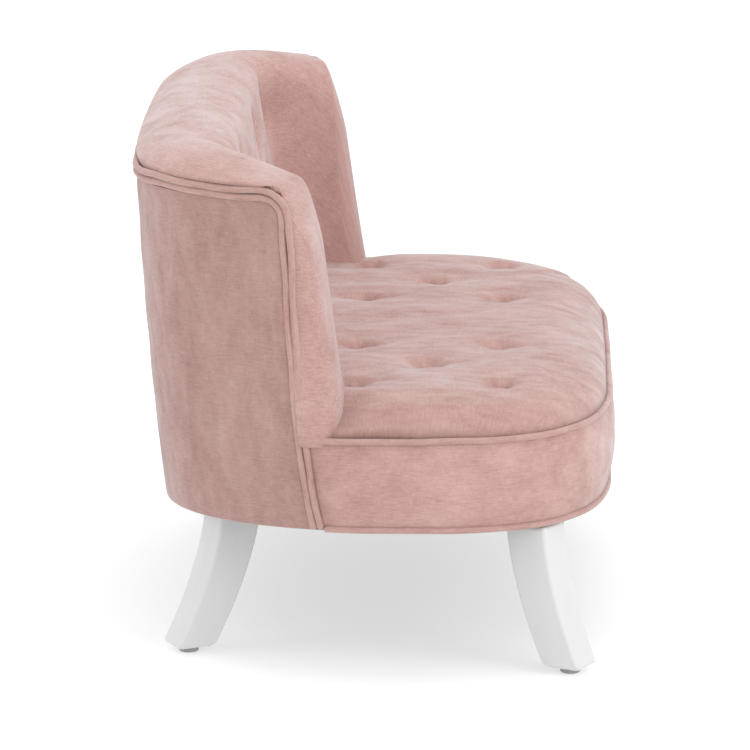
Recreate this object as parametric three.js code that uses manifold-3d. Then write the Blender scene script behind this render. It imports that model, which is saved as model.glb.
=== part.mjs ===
// A child's two-place tub settee: a low seat on four splayed legs, inside one
// continuous padded arm and back. Millimetres, +Z up, the settee faces -Y, the
// outline's centre is over the origin and the glides stand on Z = 0.

import * as THREE from 'three';
import { mergeVertices } from 'three/addons/utils/BufferGeometryUtils.js';
import Module from 'manifold-3d';

const wasm = await Module();
wasm.setup();

const { Vector2, Vector3 } = THREE;

// ---- Driving dimensions -------------------------------------------------

const GAP = 0.3;                // clearance between pieces that touch

// Plan outline of the base, from the middle of the back to the middle of the front
const HALF_WIDTH = 334;
const BACK_Y = 186;
const BACK_CORNER = new Vector2(200, 182);
const FRONT_Y = -207;
const FRONT_CORNER = new Vector2(155, -206);
const SIDE_REAR_Y = 5;
const SIDE_FRONT_Y = -35;

// Levels
const LEG_TOP_Z = 130;
const BASE_Z = 132.5;             // bottom edge of the outside cover
const RAIL_Z = 133.5;
const RAIL_TOP_Z = 176.5;
const DECK_THICKNESS = 12;
const SEAT_SEAM_Z = 212.5;        // the piping round the top of the seat
const SEAT_CROWN_Z = 244.5;
const PAD_FOOT_Z = 216.5;         // the arm and back pads stand on the seat here
const BOARD_TOP_Z = 410.5;
const PANEL_TOP_Z = 419.5;        // the outside cover ends here, under the double welt

// The tub wall leans out as it rises, and its front edge leans back
const LEAN_SIDE = 12;
const LEAN_BACK = 24;
const ARM_FRONT_LOW_Y = 49.5;
const ARM_FRONT_SLOPE = 0.055;
const KNEE_REACH = 13;          // the edge sweeps forward by this much at its foot
const KNEE_HEIGHT = 60;
const NOSE_LOW = 36;            // how far the arm pad rolls forward of the panel
const NOSE_HIGH = 20;

// Thicknesses
const COVER = 2.5;
const BOARD = 12;
const SKIN_GAP = 3.4;           // wooden pieces stay this far inside the outline
const RAIL_WIDTH = 32;
const CORD_RADIUS = 2.8;
const WELT_BEND = 14;           // where the welt turns from an arm's front to its top
const WELT_WIDTH = 4 * CORD_RADIUS;
const BAND_START = WELT_WIDTH + 4;  // the seat band starts this far forward of the wall

// Legs
const LEG_TOP_SIDE = 38.5;
const LEG_FOOT_SIDE = 36;
const FRONT_KICK = 35;          // how far a front foot stands out from under its top
const REAR_KICK = 43.5;
const LEG_TURN = THREE.MathUtils.degToRad(28);
const LEG_CURVE = 1.6;
const LEG_CHAMFER = 3;
const FRONT_LEG = new Vector2(281.6, -142);
const REAR_LEG = new Vector2(220.6, 123);
const GLIDE_RADIUS = 8.8;
const GLIDE_HEIGHT = 5.5;
const GLIDE_EDGE = 1.2;
const PLATE_RADIUS = 14;
const PLATE_THICKNESS = 2.6;
const BOLT_RADIUS = 4;
const BOLT_BOTTOM_Z = 104.5;
const BOLT_TOP_Z = 164.5;

// ---- Materials ----------------------------------------------------------

const paint = (color, roughness, metalness = 0) =>
  new THREE.MeshStandardMaterial({ color, roughness, metalness });

const velvet = paint(0xcfa39b, 0.9);
const softwood = paint(0xd9b98a, 0.75);
const plywood = paint(0xc9a574, 0.7);
const whiteLacquer = paint(0xf0f0f0, 0.35);
const zincSteel = paint(0xb4b8bb, 0.4, 0.9);
const glidePlastic = paint(0x8d8f92, 0.5);
const liningCloth = paint(0x2b2b2d, 0.95);

const group = new THREE.Group();

function add(name, geometry, material) {
  const mesh = new THREE.Mesh(geometry, material);
  mesh.name = name;
  group.add(mesh);
  return mesh;
}

// ---- The plan outline ---------------------------------------------------

const outline = new THREE.CurvePath();
outline.add(new THREE.QuadraticBezierCurve(
  new Vector2(0, BACK_Y), new Vector2(BACK_CORNER.x / 2, BACK_Y), BACK_CORNER));
outline.add(new THREE.CubicBezierCurve(
  BACK_CORNER, new Vector2(280, 180), new Vector2(330, 100), new Vector2(HALF_WIDTH, SIDE_REAR_Y)));
outline.add(new THREE.LineCurve(
  new Vector2(HALF_WIDTH, SIDE_REAR_Y), new Vector2(HALF_WIDTH, SIDE_FRONT_Y)));
outline.add(new THREE.CubicBezierCurve(
  new Vector2(HALF_WIDTH, SIDE_FRONT_Y), new Vector2(335, -135), new Vector2(298, -200), FRONT_CORNER));
outline.add(new THREE.QuadraticBezierCurve(
  FRONT_CORNER, new Vector2(FRONT_CORNER.x / 2, FRONT_Y), new Vector2(0, FRONT_Y)));

// How far the wall has leant out at a height: 0 at the base, 1 at the welt
function leanAt(z) {
  const rise = THREE.MathUtils.clamp((z - BASE_Z) / (PANEL_TOP_Z - BASE_Z), 0, 1.15);
  return Math.pow(rise, 0.85);
}

const NUDGE = 0.0005;           // a small step along the outline, to find its direction
const REAR_MOST = 0.05;         // the side lies between these shares of the outline
const FRONT_MOST = 0.8;
const HALVINGS = 24;

// A point of the outline. s runs from 0 at the middle of the back, through the
// +X side, to 1 at the middle of the front, and on round to 2.
function planAt(s, inset = 0, lean = 0) {
  const mirror = s > 1 || s < 0;
  const t = THREE.MathUtils.clamp(s > 1 ? 2 - s : Math.abs(s), NUDGE, 1 - NUDGE);
  const here = outline.getPointAt(t);
  const ahead = outline.getPointAt(t + NUDGE);
  const behind = outline.getPointAt(t - NUDGE);
  const along = ahead.sub(behind).normalize();
  const out = new Vector2(-along.y, along.x);
  const x = t <= NUDGE || t >= 1 - NUDGE ? 0 : here.x;
  const point = new Vector2(
    x + out.x * (LEAN_SIDE * lean - inset),
    here.y + out.y * ((out.y > 0 ? LEAN_BACK : 0) * lean - inset));
  if (mirror) point.x = -point.x;
  return point;
}

// The outline parameter where the side reaches a given Y, found by halving
function outlineAtY(y, lean = 0) {
  let low = REAR_MOST;
  let high = FRONT_MOST;
  for (let i = 0; i < HALVINGS; i += 1) {
    const middle = (low + high) / 2;
    if (planAt(middle, 0, lean).y > y) low = middle;
    else high = middle;
  }
  return (low + high) / 2;
}

// Y of an arm's front edge at a height
function armFrontY(z) {
  const knee = KNEE_REACH * (1 - Math.exp((BASE_Z - z) / KNEE_HEIGHT));
  return ARM_FRONT_LOW_Y + knee + (z - BASE_Z) * ARM_FRONT_SLOPE;
}

// A point of the tub wall. a is 0 at the middle of the back and 1 or -1 at an
// arm's front edge; inset goes inwards and forward goes out past that edge.
function tubAt(a, z, inset = 0, forward = 0) {
  const lean = leanAt(z);
  const end = outlineAtY(armFrontY(Math.min(z, PANEL_TOP_Z)), lean);
  const point = planAt(a * end, inset, lean);
  return new Vector3(point.x, point.y - forward, z);
}

// A point on the outline's face, this far forward of the tub wall's front edge
function edgeAt(z, out) {
  const lean = leanAt(z);
  const point = planAt(outlineAtY(armFrontY(z) - out, lean), 0, lean);
  return new Vector3(point.x, point.y, z);
}

// A point of the seat's side, from one arm (b = -1) round the front to the other
function bandAt(b, z, inset = 0) {
  const end = outlineAtY(armFrontY(z) - BAND_START, leanAt(z));
  const lean = leanAt(z) * THREE.MathUtils.smoothstep(Math.abs(b), 0.75, 1);
  const point = planAt(1 - b * (1 - end), inset, lean);
  return new Vector3(point.x, point.y, z);
}

// ---- Solid builders -----------------------------------------------------

// Joins rings of matching points into one closed solid, with its ends capped
function loft(rings, cap = capFaces) {
  const count = rings[0].length;
  const points = rings.flat();
  const index = [];
  for (let i = 0; i + 1 < rings.length; i += 1) {
    for (let j = 0; j < count; j += 1) {
      const k = (j + 1) % count;
      const a = i * count;
      const b = a + count;
      index.push(a + j, a + k, b + k, a + j, b + k, b + j);
    }
  }
  for (const [ring, start, flip] of [[rings[0], 0, true], [rings.at(-1), points.length - count, false]]) {
    for (const [p, q, r] of cap(ring)) {
      index.push(start + p, start + (flip ? r : q), start + (flip ? q : r));
    }
  }
  const geometry = new THREE.BufferGeometry().setFromPoints(points);
  geometry.setIndex(index);
  return outward(geometry);
}

// Triangles over a ring, in the ring's own direction
function capFaces(ring) {
  const normal = new Vector3();
  ring.forEach((p, i) => normal.add(new Vector3().crossVectors(p, ring[(i + 1) % ring.length])));
  normal.normalize();
  const side = new Vector3(1, 0, 0);
  if (Math.abs(normal.x) > 0.8) side.set(0, 0, 1);
  const u = new Vector3().crossVectors(normal, side).normalize();
  const v = new Vector3().crossVectors(normal, u);
  const flat = ring.map((p) => new Vector2(p.dot(u), p.dot(v)));
  return THREE.ShapeUtils.triangulateShape(flat, []);
}

// Triangles over a ring that goes up one side of a wall and down the other
function stripFaces(ring) {
  const last = ring.length - 1;
  return range(0, ring.length / 2 - 2, ring.length / 2 - 2).flatMap((i) => [
    [i, i + 1, last - i - 1], [i, last - i - 1, last - i],
  ]);
}

// Turns a closed mesh outwards if it came out inside out
function outward(geometry) {
  const p = geometry.attributes.position;
  const index = geometry.index.array;
  let volume = 0;
  const [a, b, c] = [new Vector3(), new Vector3(), new Vector3()];
  for (let i = 0; i < index.length; i += 3) {
    a.fromBufferAttribute(p, index[i]);
    b.fromBufferAttribute(p, index[i + 1]);
    c.fromBufferAttribute(p, index[i + 2]);
    volume += a.dot(b.cross(c));
  }
  if (volume < 0) index.reverse();
  geometry.computeVertexNormals();
  return geometry;
}

function toSolid(geometry) {
  const bare = geometry.clone();
  bare.deleteAttribute('normal');
  bare.deleteAttribute('uv');
  const merged = mergeVertices(bare, 1e-4);
  return new wasm.Manifold(new wasm.Mesh({
    numProp: 3,
    vertProperties: merged.attributes.position.array,
    triVerts: new Uint32Array(merged.index.array),
  }));
}

function fromSolid(solid) {
  const mesh = solid.getMesh();
  const geometry = new THREE.BufferGeometry();
  geometry.setAttribute('position', new THREE.BufferAttribute(mesh.vertProperties, 3));
  geometry.setIndex(new THREE.BufferAttribute(mesh.triVerts, 1));
  geometry.computeVertexNormals();
  return geometry;
}

const cut = (geometry, tool) => fromSolid(toSolid(geometry).subtract(toSolid(tool)));

// An upright cylinder between two levels
function rod(x, y, low, high, radius) {
  const geometry = new THREE.CylinderGeometry(radius, radius, high - low, 20);
  geometry.rotateX(Math.PI / 2);
  return geometry.translate(x, y, (low + high) / 2);
}

// A flat slab with a given outline, between two levels
function slab(points, low, high, holes = []) {
  const shape = new THREE.Shape(points);
  shape.holes = holes.map((hole) => new THREE.Path(hole));
  const geometry = new THREE.ExtrudeGeometry(shape, { depth: high - low, bevelEnabled: false });
  return geometry.translate(0, 0, low);
}

// A round cord along a route
function cord(route, steps) {
  const section = new THREE.Shape().absarc(0, 0, CORD_RADIUS, 0, 2 * Math.PI);
  return new THREE.ExtrudeGeometry(section, {
    steps,
    curveSegments: 4,
    bevelEnabled: false,
    extrudePath: new THREE.CatmullRomCurve3(route, false, 'centripetal'),
  });
}

const range = (from, to, count) =>
  Array.from({ length: count + 1 }, (_, i) => from + ((to - from) * i) / count);

// ---- Wooden base: eight sawn pieces, a deck, and the cloth under them ----

// One stretch of the base ring; mid is how deep its middle reaches inwards
function baseStretch(from, to, mid) {
  const outer = range(from, to, 12).map((s) => planAt(s, SKIN_GAP));
  const inner = [
    planAt(to, RAIL_WIDTH + SKIN_GAP),
    planAt((from + to) / 2, mid),
    planAt(from, RAIL_WIDTH + SKIN_GAP),
  ];
  return slab([...outer, ...inner], RAIL_Z, RAIL_TOP_Z);
}

const REAR_SPLIT = 0.19;
const SIDE_REAR_SPLIT = 0.42;
const SIDE_FRONT_SPLIT = 0.56;
const FRONT_SPLIT = 0.79;
const SEAM = 0.0006;            // half a seam, as a share of the outline
const RAIL_DEPTH = RAIL_WIDTH + SKIN_GAP;
const REAR_BLOCK_DEPTH = 82;
const FRONT_BLOCK_DEPTH = 64;

function baseFrame() {
  add('base_rail_back', baseStretch(-REAR_SPLIT + SEAM, REAR_SPLIT - SEAM, RAIL_DEPTH), softwood);
  add('base_rail_front', baseStretch(FRONT_SPLIT + SEAM, 2 - FRONT_SPLIT - SEAM, RAIL_DEPTH), softwood);
  for (const [side, sign] of [['left', 1], ['right', -1]]) {
    const stretch = (low, high, mid) => (sign > 0
      ? baseStretch(low + SEAM, high - SEAM, mid)
      : baseStretch(2 - high + SEAM, 2 - low - SEAM, mid));
    const bore = (leg) => rod(sign * leg.x, leg.y, RAIL_Z - 1, BOLT_TOP_Z + 2, BOLT_RADIUS + GAP);
    const rear = stretch(REAR_SPLIT, SIDE_REAR_SPLIT, REAR_BLOCK_DEPTH);
    const front = stretch(SIDE_FRONT_SPLIT, FRONT_SPLIT, FRONT_BLOCK_DEPTH);
    add(`leg_block_rear_${side}`, cut(rear, bore(REAR_LEG)), softwood);
    add(`base_rail_${side}`, stretch(SIDE_REAR_SPLIT, SIDE_FRONT_SPLIT, RAIL_DEPTH), softwood);
    add(`leg_block_front_${side}`, cut(front, bore(FRONT_LEG)), softwood);
  }
}

function loopPoints(inset, count) {
  return range(0, 2, count).slice(0, -1).map((s) => planAt(s, inset));
}

function seatDeck() {
  const low = RAIL_TOP_Z + GAP;
  add('seat_deck', slab(loopPoints(SKIN_GAP, 72), low, low + DECK_THICKNESS), plywood);
}

// Each leg's place, its turn from kicking straight forward, and its kick
const legPlaces = [
  ['front_left', FRONT_LEG.x, FRONT_LEG.y, LEG_TURN, FRONT_KICK],
  ['front_right', -FRONT_LEG.x, FRONT_LEG.y, -LEG_TURN, FRONT_KICK],
  ['rear_left', REAR_LEG.x, REAR_LEG.y, Math.PI - LEG_TURN, REAR_KICK],
  ['rear_right', -REAR_LEG.x, REAR_LEG.y, Math.PI + LEG_TURN, REAR_KICK],
];

const circleAt = (x, y, radius) =>
  new THREE.Path().absarc(x, y, radius, 0, 2 * Math.PI).getPoints(10).slice(0, -1);

function dustCover() {
  const holes = legPlaces.map(([, x, y]) => circleAt(x, y, PLATE_RADIUS + 1));
  add('dust_cover', slab(loopPoints(6, 72), RAIL_Z - GAP - 1.4, RAIL_Z - GAP, holes), liningCloth);
}

// ---- Legs, with their plates, bolts and glides --------------------------

// A chamfered square ring at a height, kicked out along the leg's own direction
function legRing(z, reach) {
  const drop = 1 - (z - GLIDE_HEIGHT) / (LEG_TOP_Z - GLIDE_HEIGHT);
  const half = THREE.MathUtils.lerp(LEG_TOP_SIDE, LEG_FOOT_SIDE, drop) / 2;
  const kick = reach * Math.pow(drop, LEG_CURVE);
  const inner = half - LEG_CHAMFER;
  const corners = [
    [half, -inner], [half, inner], [inner, half], [-inner, half],
    [-half, inner], [-half, -inner], [-inner, -half], [inner, -half],
  ];
  return corners.map(([x, y]) => new Vector3(x, y - kick, z));
}

function legs() {
  for (const [where, x, y, turn, reach] of legPlaces) {
    const rings = range(LEG_TOP_Z, GLIDE_HEIGHT + GAP, 12).map((z) => legRing(z, reach));
    const bore = rod(0, 0, BOLT_BOTTOM_Z - 2, LEG_TOP_Z + 1, BOLT_RADIUS + GAP);
    const leg = add(`leg_${where}`, cut(loft(rings), bore), whiteLacquer);
    // The leg is drawn kicking towards -Y, so it is turned to face its own corner
    leg.position.set(x, y, 0);
    leg.rotation.z = turn;

    const plate = circleAt(x, y, PLATE_RADIUS);
    const hole = circleAt(x, y, BOLT_RADIUS + GAP);
    const low = LEG_TOP_Z + GAP;
    add(`leg_plate_${where}`, slab(plate, low, low + PLATE_THICKNESS, [hole]), zincSteel);
    add(`leg_bolt_${where}`, rod(x, y, BOLT_BOTTOM_Z, BOLT_TOP_Z, BOLT_RADIUS), zincSteel);

    const glide = add(`glide_${where}`, glideGeometry(), glidePlastic);
    glide.position.set(x + reach * Math.sin(turn), y - reach * Math.cos(turn), 0);
  }
}

function glideGeometry() {
  const profile = [
    new Vector2(0, 0), new Vector2(GLIDE_RADIUS - GLIDE_EDGE, 0), new Vector2(GLIDE_RADIUS, GLIDE_EDGE),
    new Vector2(GLIDE_RADIUS, GLIDE_HEIGHT - GLIDE_EDGE), new Vector2(GLIDE_RADIUS - GLIDE_EDGE, GLIDE_HEIGHT),
    new Vector2(0, GLIDE_HEIGHT),
  ];
  return new THREE.LatheGeometry(profile, 20).rotateX(Math.PI / 2);
}

// ---- Tub wall: five bent boards and the outside cover -------------------

const CORNER_START = 0.52;      // where the back turns into a corner, as a share of a
const ARM_START = 0.84;         // where the corner turns into an arm
const WALL_SEAM = 0.001;

// A wall piece between two insets, from a = from to a = to, low to high
function wallPiece(from, to, near, far, low, high, steps, levels) {
  const rings = range(from, to, steps).map((a) => [
    ...range(low, high, levels).map((z) => tubAt(a, z, near)),
    ...range(high, low, levels).map((z) => tubAt(a, z, far)),
  ]);
  return loft(rings, stripFaces);
}

const wallStretches = [
  ['back', -CORNER_START + WALL_SEAM, CORNER_START - WALL_SEAM, 8],
  ['corner_left', CORNER_START + WALL_SEAM, ARM_START - WALL_SEAM, 8],
  ['corner_right', -ARM_START + WALL_SEAM, -CORNER_START - WALL_SEAM, 8],
  ['arm_left', ARM_START + WALL_SEAM, 1, 3],
  ['arm_right', -1, -ARM_START - WALL_SEAM, 3],
];

function tubBoards() {
  const low = RAIL_TOP_Z + DECK_THICKNESS + 2 * GAP;
  for (const [where, from, to, steps] of wallStretches) {
    const board = wallPiece(from, to, SKIN_GAP, SKIN_GAP + BOARD, low, BOARD_TOP_Z, steps, 3);
    add(`${where}_board`, board, plywood);
  }
}

// The cover's two upper front corners are rounded where the welt turns them
function outsideCover() {
  const cornerBack = (z) => {
    const over = Math.max(z - (PANEL_TOP_Z - WELT_BEND), 0);
    return WELT_BEND - Math.sqrt(WELT_BEND * WELT_BEND - over * over);
  };
  const bend = range(0.25, 1, 3).map((share) => PANEL_TOP_Z - WELT_BEND * (1 - Math.sin((share * Math.PI) / 2)));
  const levels = [...range(BASE_Z, PANEL_TOP_Z - WELT_BEND, 14), ...bend];
  const point = (a, z, inset) => {
    const lean = leanAt(z);
    const end = outlineAtY(armFrontY(z) + cornerBack(z), lean);
    const flat = planAt(a * end, inset, lean);
    return new Vector3(flat.x, flat.y, z);
  };
  const rings = range(-1, 1, 40).map((a) => [
    ...levels.map((z) => point(a, z, 0)),
    ...levels.toReversed().map((z) => point(a, z, COVER)),
  ]);
  add('outside_cover', loft(rings, stripFaces), velvet);
}

// ---- Arm and back pads --------------------------------------------------

const PAD_BACK = SKIN_GAP + BOARD + 4 * GAP;
const PAD_THICKNESS = 86;
const PAD_FOOT_INSET = 77;      // the pads are thinner where they stand on the seat
const PAD_LIP_Z = 433.5;          // the pad comes down over the welt to here
const CREST_RISE = 20;          // the roll's height above that lip, at the back
const CREST_ARM_SHARE = 0.05;   // and how much of it is left at an arm's front
const PAD_MIDDLE = 42;          // the pad's crest is this far inside the outline
const BACK_FILL = 0.4;          // the back is this much fuller than the arms, inside that

// Section of the pad as [inset, height]; heights over the lip shrink with crest,
// and the inner face moves further in with fill
function padSection(crest, fill) {
  const over = (share) => PAD_LIP_Z + CREST_RISE * crest * share;
  const inner = (inset) => PAD_MIDDLE + (inset - PAD_MIDDLE) * fill;
  return [
    [PAD_BACK, PAD_FOOT_Z], [PAD_BACK, BOARD_TOP_Z + GAP], [6.6, BOARD_TOP_Z + GAP],
    [6.6, PAD_LIP_Z], [0.5, over(0.04)], [-2, over(0.25)], [3, over(0.62)],
    [18, over(0.92)], [PAD_MIDDLE, over(1)], [inner(63), over(0.88)], [inner(78), over(0.5)],
    [inner(PAD_THICKNESS - 1), PAD_LIP_Z], [inner(PAD_THICKNESS), PAD_LIP_Z - 36],
    [inner(82), PAD_LIP_Z - 116], [PAD_FOOT_INSET, SEAT_CROWN_Z + 8], [PAD_FOOT_INSET, PAD_FOOT_Z],
  ];
}

const NOSE_SINK = 52;           // how far the top sinks towards the arm's front

const crestShare = (a) =>
  1 - (1 - CREST_ARM_SHARE) * THREE.MathUtils.smoothstep(Math.abs(a), 0.45, 1);

const backFill = (a) => 1 + BACK_FILL * (1 - THREE.MathUtils.smoothstep(Math.abs(a), 0.4, ARM_START));

function padRing(a) {
  return padSection(crestShare(a), backFill(a)).map(([inset, z]) => tubAt(a, z, inset));
}

// The rounded front of an arm: the section narrows and sinks as it goes forward
function noseRing(side, share) {
  const width = Math.sqrt(1 - share * share);
  const middle = PAD_THICKNESS / 2;
  const top = PAD_LIP_Z + CREST_RISE * CREST_ARM_SHARE;
  return padSection(CREST_ARM_SHARE, 1).map(([inset, z]) => {
    const narrowed = middle + (Math.max(inset, PAD_BACK) - middle) * width;
    const sunk = z > BOARD_TOP_Z - 1 ? THREE.MathUtils.lerp(z, top - NOSE_SINK, (1 - width) * 0.6) : z;
    const reach = THREE.MathUtils.mapLinear(sunk, PAD_FOOT_Z, PANEL_TOP_Z, NOSE_LOW, NOSE_HIGH);
    return tubAt(side, sunk, narrowed, reach * share);
  });
}

function pads() {
  for (const [where, from, to, steps] of wallStretches) {
    const rings = range(from, to, steps).map(padRing);
    if (where === 'arm_left') rings.push(...[0.35, 0.65, 0.85, 0.97].map((d) => noseRing(1, d)));
    if (where === 'arm_right') rings.unshift(...[0.97, 0.85, 0.65, 0.35].map((d) => noseRing(-1, d)));
    add(`${where}_pad`, loft(rings), velvet);
  }
}

// ---- Seat: crowned pad and the band round its side ----------------------

const SPINE_HALF = 150;
const SPINE_Y = -20;
const EDGE_ROLL = 58;           // the seat rises to its crown over this distance
const SEAT_STEP = PAD_FOOT_INSET + 2 - SKIN_GAP;

// Height of the seat at a distance from its edge; it stays low under the pads
function seatHeight(distance, underPads) {
  const rise = Math.sin((Math.PI / 2) * Math.min(distance / EDGE_ROLL, 1));
  const open = SEAT_SEAM_Z - 1 + (SEAT_CROWN_Z - SEAT_SEAM_Z) * rise;
  return underPads && distance < SEAT_STEP ? Math.min(open, PAD_FOOT_Z - 2 * GAP) : open;
}

function seatPad() {
  const armReach = armFrontY(PAD_FOOT_Z) - NOSE_LOW - 16;
  const bottom = RAIL_TOP_Z + DECK_THICKNESS + 2 * GAP;
  const depths = [0, 14, 32, 54, SEAT_STEP - 1, SEAT_STEP + 1, 110, 150];
  const loop = range(0, 2, 128).slice(0, -1);
  const point = (s, depth, z) => {
    const start = planAt(s, SKIN_GAP);
    const spine = new Vector2(THREE.MathUtils.clamp(start.x * 0.6, -SPINE_HALF, SPINE_HALF), SPINE_Y);
    const inTub = THREE.MathUtils.smoothstep(start.y, armReach, armFrontY(bottom) - 6);
    const away = start.distanceTo(spine);
    const reach = Math.min(Math.max(depth, inTub * (BOARD + GAP)) / away, 1);
    const flat = start.lerp(spine, reach);
    return new Vector3(flat.x, flat.y, z ?? seatHeight(reach * away, inTub > 0));
  };
  const rings = [loop.map((s) => point(s, 0, bottom)), ...depths.map((d) => loop.map((s) => point(s, d)))];
  add('seat_pad', loft(rings), velvet);
}

const BAND_BULGE = 6;

function seatBand() {
  const low = RAIL_Z + 2 * CORD_RADIUS - 1.4;
  const high = SEAT_SEAM_Z - CORD_RADIUS - GAP;
  const levels = range(low, high, 6);
  const bulge = (z) => BAND_BULGE * Math.sin((Math.PI * (z - low)) / (high - low));
  const rings = range(-1, 1, 48).map((b) => [
    ...levels.map((z) => bandAt(b, z, -bulge(z))),
    ...levels.toReversed().map((z) => bandAt(b, z, COVER - bulge(z) * 0.9)),
  ]);
  add('seat_band', loft(rings, stripFaces), velvet);
}

// ---- Piping and the double welt -----------------------------------------

function seatPiping() {
  const route = (z) => range(-1, 1, 40).map((b) => bandAt(b, z));
  add('seat_piping_top', cord(route(SEAT_SEAM_Z), 60), velvet);
  add('seat_piping_bottom', cord(route(RAIL_Z + 1), 60), velvet);
}

const WELT_TURN = 0.96;         // the welt's level run ends at this share of the wall

// A cord that climbs one arm's front edge, goes round the top and comes down
// the other; out is how far its middle lies outside the cover's edge
function weltRoute(out) {
  const top = PANEL_TOP_Z + out;
  const climb = range(BASE_Z, PANEL_TOP_Z - WELT_BEND, 14).map((z) => edgeAt(z, out));
  const bend = [0.25, 0.5, 0.75].map((share) => {
    const angle = (share * Math.PI) / 2;
    const back = (WELT_BEND + out) * (1 - Math.cos(angle));
    return edgeAt(PANEL_TOP_Z - WELT_BEND + (WELT_BEND + out) * Math.sin(angle), out - back);
  });
  const side = [...climb, ...bend];
  const over = range(WELT_TURN, -WELT_TURN, 34).map((a) => tubAt(a, top));
  const mirror = side.map((p) => new Vector3(-p.x, p.y, p.z)).reverse();
  return [...side, ...over, ...mirror];
}

function doubleWelt() {
  add('welt_outer', cord(weltRoute(CORD_RADIUS + 5 * GAP), 76), velvet);
  add('welt_inner', cord(weltRoute(3 * CORD_RADIUS + 8 * GAP), 76), velvet);
}

baseFrame();
seatDeck();
dustCover();
legs();
tubBoards();
outsideCover();
pads();
seatPad();
seatBand();
seatPiping();
doubleWelt();

export default group;
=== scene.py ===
import math

import bpy
import numpy as np
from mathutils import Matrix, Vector


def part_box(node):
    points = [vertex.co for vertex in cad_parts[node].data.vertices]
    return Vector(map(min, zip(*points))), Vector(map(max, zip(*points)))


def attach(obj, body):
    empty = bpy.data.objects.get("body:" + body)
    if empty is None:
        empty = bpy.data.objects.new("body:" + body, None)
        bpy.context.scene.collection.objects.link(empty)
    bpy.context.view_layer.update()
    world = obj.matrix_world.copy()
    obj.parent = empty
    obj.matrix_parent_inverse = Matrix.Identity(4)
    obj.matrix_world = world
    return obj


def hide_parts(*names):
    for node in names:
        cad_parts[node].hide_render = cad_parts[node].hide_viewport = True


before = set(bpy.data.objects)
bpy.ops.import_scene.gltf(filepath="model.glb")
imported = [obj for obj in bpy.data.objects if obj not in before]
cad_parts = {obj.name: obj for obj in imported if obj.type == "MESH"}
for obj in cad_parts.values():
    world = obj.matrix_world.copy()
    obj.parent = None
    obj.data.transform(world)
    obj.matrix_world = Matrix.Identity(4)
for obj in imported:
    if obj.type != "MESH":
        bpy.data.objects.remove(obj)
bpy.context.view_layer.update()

MM = 0.001               # lengths below are in millimetres; meshes are in metres


# ---------------------------------------------------------------------------
# Camera: a long lens well to one side, a little above the seat and turned
# slightly towards the front, so that the far arm shows over the near one.
# ---------------------------------------------------------------------------
LENS = 253.4
CAMERA_PITCH = math.radians(13.0)
CAMERA_YAW = math.radians(1.7)
CAMERA_DISTANCE = 4.824
AIM = Vector((0.0, 0.005, 0.1935))

away = Vector((
    -math.cos(CAMERA_YAW) * math.cos(CAMERA_PITCH),
    -math.sin(CAMERA_YAW) * math.cos(CAMERA_PITCH),
    math.sin(CAMERA_PITCH)))
camera_data = bpy.data.cameras.new("camera")
camera_data.lens = LENS
camera_data.sensor_width = 36
camera = bpy.data.objects.new("camera", camera_data)
camera.location = AIM + away * CAMERA_DISTANCE
camera.rotation_euler = (-away).to_track_quat("-Z", "Y").to_euler()
bpy.context.scene.collection.objects.link(camera)
bpy.context.scene.camera = camera
bpy.context.scene.view_settings.view_transform = "Standard"


# ---------------------------------------------------------------------------
# Studio: a plain pale floor, a big overhead softbox, and one softbox
# before and one behind the settee.
# ---------------------------------------------------------------------------
def new_material(name):
    material = bpy.data.materials.new(name)
    material.use_nodes = True
    return material, material.node_tree.nodes, material.node_tree.links


bpy.ops.object.select_all(action="DESELECT")
bpy.ops.mesh.primitive_plane_add(size=40, location=(0, 0, 0))
floor = bpy.context.object
floor.name = "studio_floor"
floor_paint, nodes, links = new_material("floor_paint")
nodes["Principled BSDF"].inputs["Base Color"].default_value = (0.55, 0.55, 0.55, 1)
nodes["Principled BSDF"].inputs["Emission Color"].default_value = (1, 1, 1, 1)
nodes["Principled BSDF"].inputs["Emission Strength"].default_value = 0.5
nodes["Principled BSDF"].inputs["Roughness"].default_value = 0.9
floor.data.materials.append(floor_paint)

world = bpy.data.worlds.new("studio_light")
world.use_nodes = True
world.node_tree.nodes["Background"].inputs["Color"].default_value = (1.0, 1.0, 1.0, 1)
world.node_tree.nodes["Background"].inputs["Strength"].default_value = 1.0
bpy.context.scene.world = world


def softbox(name, place, size, watts):
    data = bpy.data.lights.new(name, "AREA")
    data.shape = "RECTANGLE"
    data.size, data.size_y = size
    data.energy = watts
    lamp = bpy.data.objects.new(name, data)
    lamp.location = place
    lamp.rotation_euler = (Vector((0, 0, 0.2)) - Vector(place)).to_track_quat("-Z", "Y").to_euler()
    bpy.context.scene.collection.objects.link(lamp)


softbox("softbox_top", (0.2, -0.2, 2.6), (2.4, 2.4), 22)
softbox("softbox_front", (-1.5, -2.1, 1.2), (1.6, 1.8), 20)
softbox("softbox_back", (-0.7, 2.4, 0.9), (1.4, 1.6), 10)


# ---------------------------------------------------------------------------
# Outside cover: one width of brushed woven velvet pulled round the bent
# boards, from one arm's front edge to the other, turned under the base rails.
# ---------------------------------------------------------------------------
def mm_box(node):
    low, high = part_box(node)
    return np.array(low) / MM, np.array(high) / MM


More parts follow.
